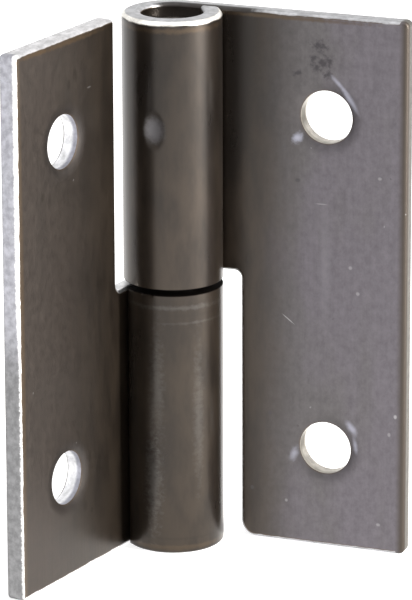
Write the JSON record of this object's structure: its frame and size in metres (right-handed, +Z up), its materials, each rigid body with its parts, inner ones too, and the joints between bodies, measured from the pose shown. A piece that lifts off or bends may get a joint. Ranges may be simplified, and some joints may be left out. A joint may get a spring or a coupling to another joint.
{
  "type": "slip joint hinge",
  "caption": "Lift-off leaf hinge in plain steel: a leaf with a rolled knuckle swings on a fixed pin that slips down into the knuckle of its mate.",
  "frame": {"origin": "on the pin axis, level with the lower ends of both leaves and of the lower knuckle", "axes": "+Z up along the pin, the way the upper leaf lifts off; +Y out of the flat back of the lower leaf, whose outer edge points along -X"},
  "size_m": [0.0449, 0.0382, 0.0762],
  "materials": {
    "lower_leaf": "plain oiled mill steel, brown oil film, bright cut edges",
    "upper_leaf": "plain oiled mill steel, brown oil film by the knuckle, bright cut edges",
    "pin": "plain drawn steel, oiled"
  },
  "bodies": {
    "lower_leaf": {"lower_leaf": "lower_leaf"},
    "pin": {"pin": "pin"},
    "upper_leaf": {"upper_leaf": "upper_leaf"}
  },
  "joints": [
    {"name": "lift_off", "type": "slide", "parent": "lower_leaf", "child": "pin", "axis": [0, 0, 1], "range_m": [0, 0.04]},
    {"name": "swing", "type": "hinge", "parent": "pin", "child": "upper_leaf", "pos_m": [0, 0, 0], "axis": [0, 0, 1], "range_deg": [-114, 175]}
  ]
}
